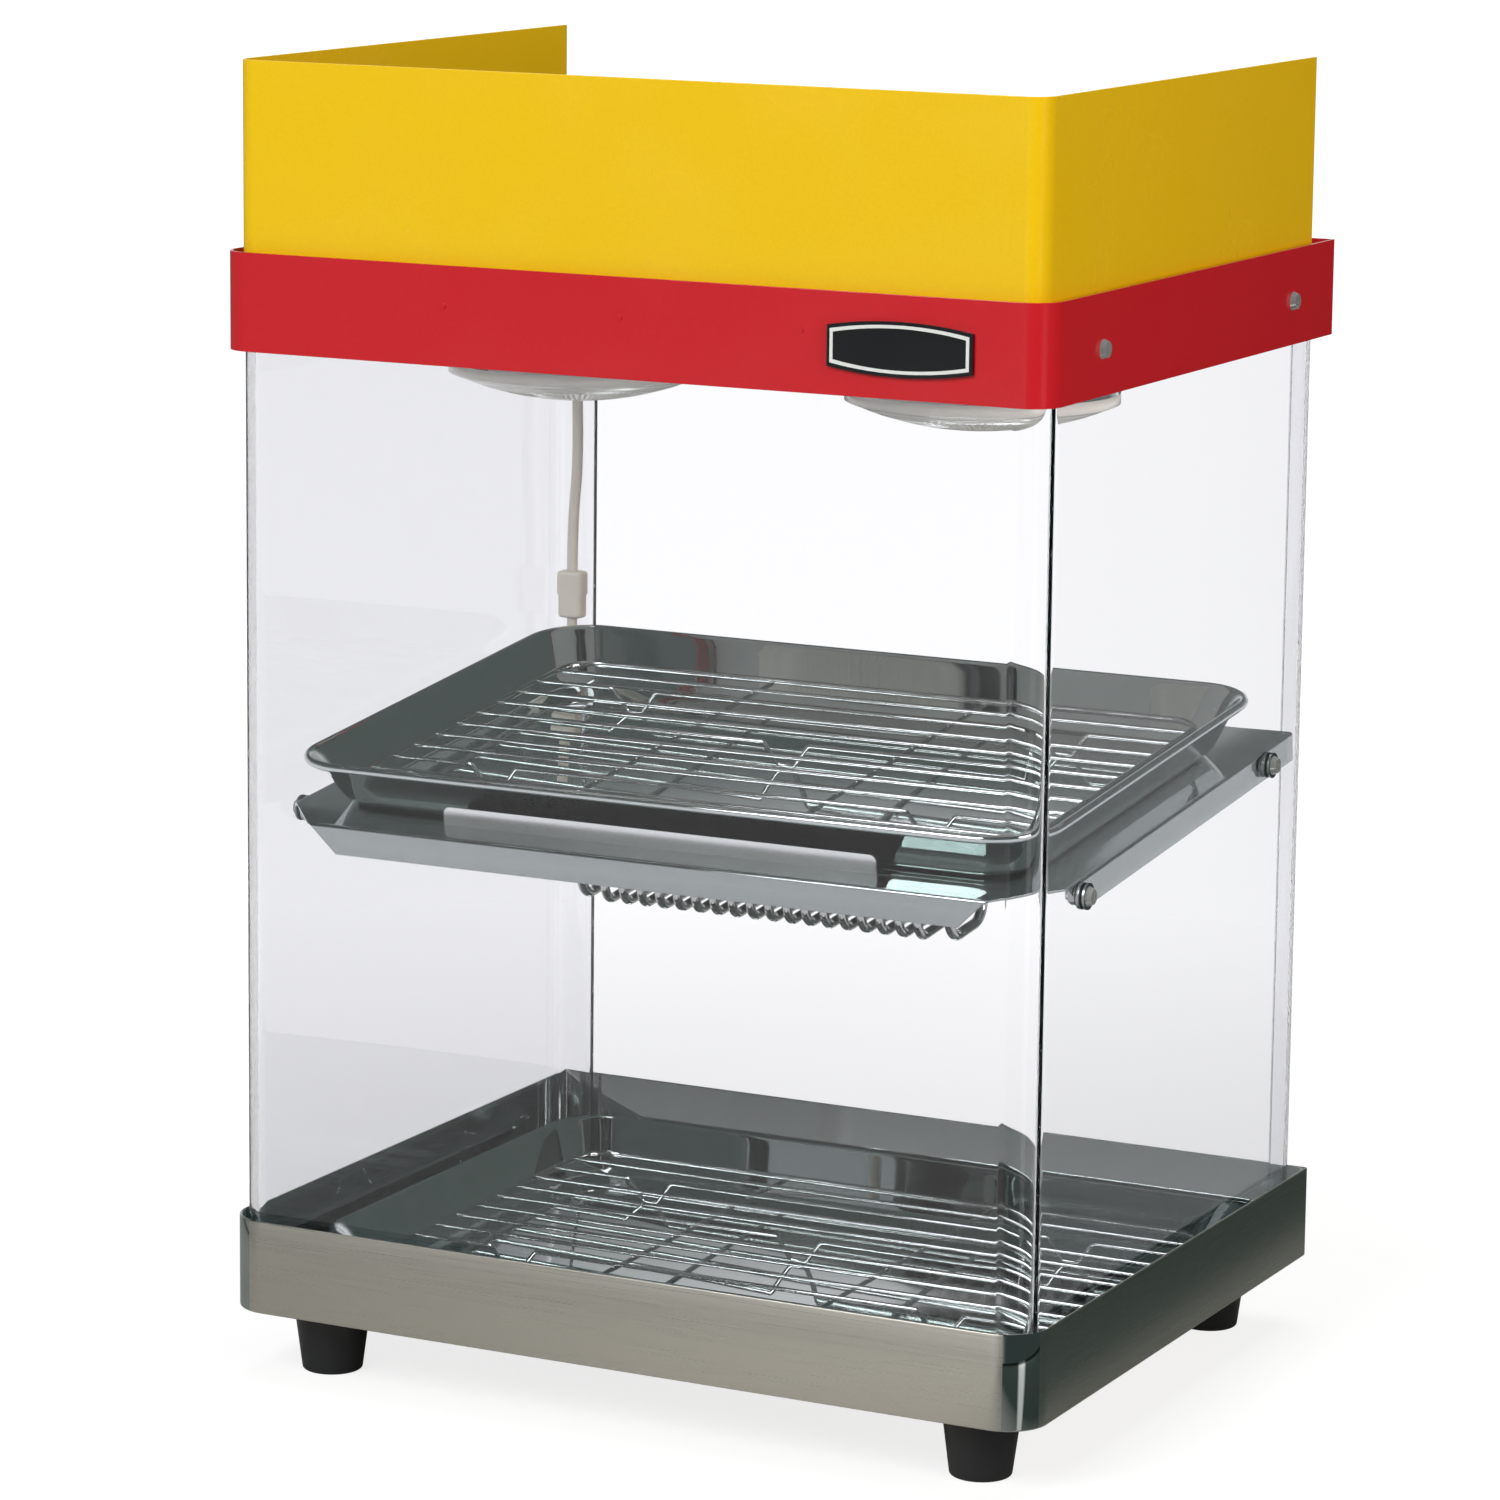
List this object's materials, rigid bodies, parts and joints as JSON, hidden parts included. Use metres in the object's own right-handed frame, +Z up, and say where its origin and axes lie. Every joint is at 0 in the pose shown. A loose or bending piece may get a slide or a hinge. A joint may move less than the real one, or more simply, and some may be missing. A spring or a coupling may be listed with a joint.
{
  "type": "heated display case",
  "caption": "Counter-top heated display case with a clear bent shell, a tilted heated shelf, wired trays, reflector lamps and a sign board on top.",
  "frame": {"origin": "centre of the case's overall box, on the surface under the feet", "axes": "+Z up, the front faces -Y, +X to the right seen from the front"},
  "size_m": [0.4148, 0.334, 0.612],
  "materials": {
    "brushed_stainless": "brushed stainless sheet, fine horizontal grain",
    "polished_stainless": "polished stainless sheet",
    "clear_sheet": "clear, polished edges",
    "red_paint": "gloss paint",
    "yellow_paint": "gloss paint",
    "badge_black": "gloss",
    "chrome": "polished",
    "black_rubber": "moulded",
    "tray_steel": "bright rolled steel",
    "rack_wire": "plated wire",
    "zinc_steel": "zinc plated",
    "element_steel": "heat tinted sheath",
    "ceramic": "unglazed",
    "lens_glass": "prismatic moulded glass",
    "reflector": "silvered",
    "cap_brass": "rolled thread",
    "black_plastic": "moulded",
    "grey_cable": "flexible sleeve"
  },
  "bodies": {
    "case": {"badge_plate": "badge_black", "badge_rim": "chrome", "band_nuts": "zinc_steel", "band_rivets": "red_paint", "band_screws": "chrome", "base_pan": "brushed_stainless", "ceiling_bush": "black_rubber", "ceiling_panel": "zinc_steel", "clear_shell": "clear_sheet", "cord_inlet": "black_plastic", "foot_front_left": "black_rubber", "foot_front_right": "black_rubber", "foot_rear_left": "black_rubber", "foot_rear_right": "black_rubber", "foot_screws": "zinc_steel", "foot_washers": "zinc_steel", "guard_rails": "rack_wire", "guard_rods": "rack_wire", "heater_cover": "polished_stainless", "heater_element": "element_steel", "heater_end_plates": "zinc_steel", "heater_feed": "grey_cable", "heater_insulators": "ceramic", "heater_screws": "zinc_steel", "heater_terminal_cover": "zinc_steel", "housing_screws": "zinc_steel", "lamp_caps": "cap_brass", "lamp_hood": "zinc_steel", "lamp_lens_left": "lens_glass", "lamp_lens_right": "lens_glass", "lamp_reflector_left": "reflector", "lamp_reflector_right": "reflector", "lamp_socket_left": "ceramic", "lamp_socket_right": "ceramic", "lamp_wiring": "grey_cable", "lead_plug": "grey_cable", "lead_socket": "grey_cable", "lead_tail": "grey_cable", "overheat_cutout": "black_plastic", "rear_panel": "red_paint", "shelf_bolts": "chrome", "shelf_grommet": "black_rubber", "shelf_lead": "grey_cable", "shelf_nuts": "zinc_steel", "shelf_plate": "polished_stainless", "shelf_washers": "zinc_steel", "shell_seal": "black_rubber", "sign_guides": "zinc_steel", "socket_bracket": "zinc_steel", "switch_housings": "black_plastic", "terminal_block": "black_plastic", "top_band": "red_paint", "tray_stop": "polished_stainless"},
    "upper_tray": {"upper_tray": "tray_steel"},
    "upper_rack": {"upper_rack": "rack_wire"},
    "lower_tray": {"lower_tray": "tray_steel"},
    "lower_rack": {"lower_rack": "rack_wire"},
    "sign_panel": {"sign_panel": "yellow_paint"},
    "lamp_rocker": {"lamp_rocker": "black_plastic"},
    "heater_rocker": {"heater_rocker": "black_plastic"}
  },
  "joints": [
    {"name": "upper_tray_lift", "type": "slide", "parent": "case", "child": "upper_tray", "axis": [0, 0, 1], "range_m": [0, 0.1]},
    {"name": "upper_rack_lift", "type": "slide", "parent": "upper_tray", "child": "upper_rack", "axis": [0, 0, 1], "range_m": [0, 0.03]},
    {"name": "lower_tray_lift", "type": "slide", "parent": "case", "child": "lower_tray", "axis": [0, 0, 1], "range_m": [0, 0.09]},
    {"name": "lower_rack_lift", "type": "slide", "parent": "lower_tray", "child": "lower_rack", "axis": [0, 0, 1], "range_m": [0, 0.05]},
    {"name": "sign_lift", "type": "slide", "parent": "case", "child": "sign_panel", "axis": [0, 0, 1], "range_m": [0, 0.04]},
    {"name": "lamp_rocker_press", "type": "hinge", "parent": "case", "child": "lamp_rocker", "pos_m": [-0.15, 0.165, 0.509], "axis": [-1, 0, 0], "range_deg": [0, 16]},
    {"name": "heater_rocker_press", "type": "hinge", "parent": "case", "child": "heater_rocker", "pos_m": [-0.124, 0.165, 0.509], "axis": [-1, 0, 0], "range_deg": [0, 16]}
  ]
}
